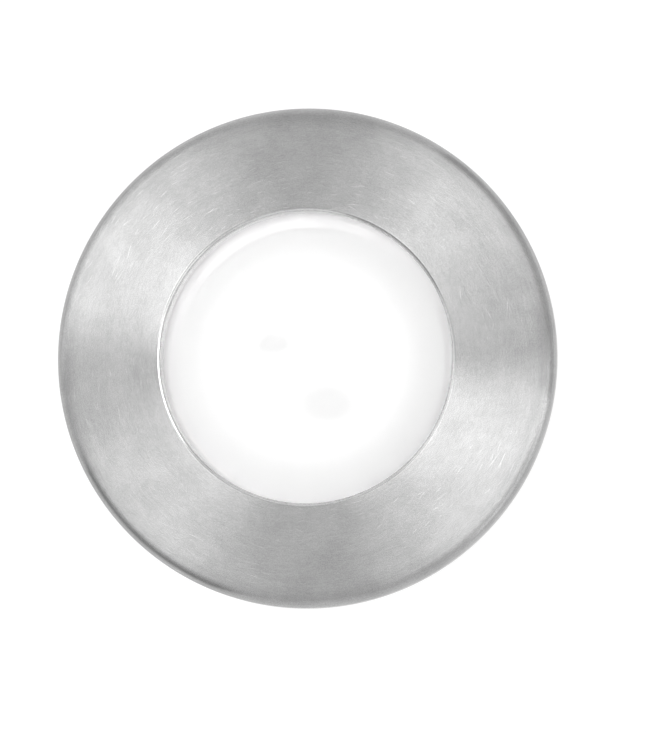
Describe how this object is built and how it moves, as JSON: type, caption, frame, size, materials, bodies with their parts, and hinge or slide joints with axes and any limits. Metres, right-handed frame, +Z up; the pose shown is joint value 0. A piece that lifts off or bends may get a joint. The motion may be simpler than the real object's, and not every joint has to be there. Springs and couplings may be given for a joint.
{
  "type": "well light",
  "caption": "Small in-ground well light: broad brushed steel ring round a lit glass lens, sealed finned housing with cable gland, and the sleeve it drops into.",
  "frame": {"origin": "middle of the sleeve's foot, on the surface it stands on", "axes": "+Z up along the light's axis, the way the beam points; +Y towards the cable notch"},
  "size_m": [0.076, 0.076, 0.0683],
  "materials": {
    "brushed_steel": "circular brushed",
    "glass": "clear, polished",
    "white_silicone": "satin",
    "opal": "frosted, lit",
    "reflector_white": "gloss",
    "board_white": "solder mask",
    "phosphor": "clear dome over phosphor",
    "thermal_grey": "matt",
    "screw_steel": "plain",
    "lead_red": "satin",
    "lead_black": "satin",
    "board_green": "solder mask",
    "nylon": "satin",
    "capacitor_blue": "shrunk sleeve",
    "ferrite": "matt",
    "copper": "enamelled wire",
    "component_black": "moulded",
    "terminal_green": "moulded",
    "housing_black": "powder coat on die-cast aluminium",
    "black_rubber": "matt",
    "vent_grey": "moulded",
    "gland_black": "moulded",
    "sleeve_black": "fine moulded texture"
  },
  "bodies": {
    "sleeve": {"burial_sleeve": "sleeve_black"},
    "light": {"housing": "housing_black", "grip_ring_upper": "black_rubber", "grip_ring_lower": "black_rubber", "lens": "glass", "lens_gasket": "white_silicone", "diffuser": "opal", "reflector": "reflector_white", "light_board": "board_white", "led_1": "phosphor", "led_2": "phosphor", "led_3": "phosphor", "thermal_pad": "thermal_grey", "board_screw_1": "screw_steel", "board_screw_2": "screw_steel", "lead_red": "lead_red", "lead_black": "lead_black", "driver_board": "board_green", "driver_spacer_1": "nylon", "driver_spacer_2": "nylon", "driver_screw_1": "screw_steel", "driver_screw_2": "screw_steel", "capacitor_large": "capacitor_blue", "capacitor_small": "capacitor_blue", "inductor_core": "ferrite", "inductor_winding": "copper", "rectifier": "component_black", "driver_chip": "component_black", "terminal_block": "terminal_green", "terminal_screw_1": "screw_steel", "terminal_screw_2": "screw_steel", "base_cap": "housing_black", "base_seal": "black_rubber", "base_screw_1": "screw_steel", "base_screw_2": "screw_steel", "base_screw_3": "screw_steel", "base_screw_4": "screw_steel", "breather_plug": "vent_grey", "gland_body": "gland_black", "gland_washer": "black_rubber", "gland_locknut": "gland_black", "gland_seal": "black_rubber", "gland_nut": "gland_black"},
    "slip_ring": {"slip_washer": "nylon"},
    "ring": {"face_ring": "brushed_steel"}
  },
  "joints": [
    {"name": "light_lift", "type": "slide", "parent": "sleeve", "child": "light", "axis": [0, 0, 1], "range_m": [0, 0.06]},
    {"name": "ring_rise", "type": "slide", "parent": "light", "child": "slip_ring", "axis": [0, 0, 1], "range_m": [0, 0.009]},
    {"name": "ring_turn", "type": "hinge", "parent": "slip_ring", "child": "ring", "pos_m": [0, 0, 0.0643], "axis": [0, 0, 1], "range_deg": [0, 1080]}
  ],
  "couplings": [
    {"joint": "ring_rise", "follows": "ring_turn", "m_per_rad": 0.00047746}
  ]
}
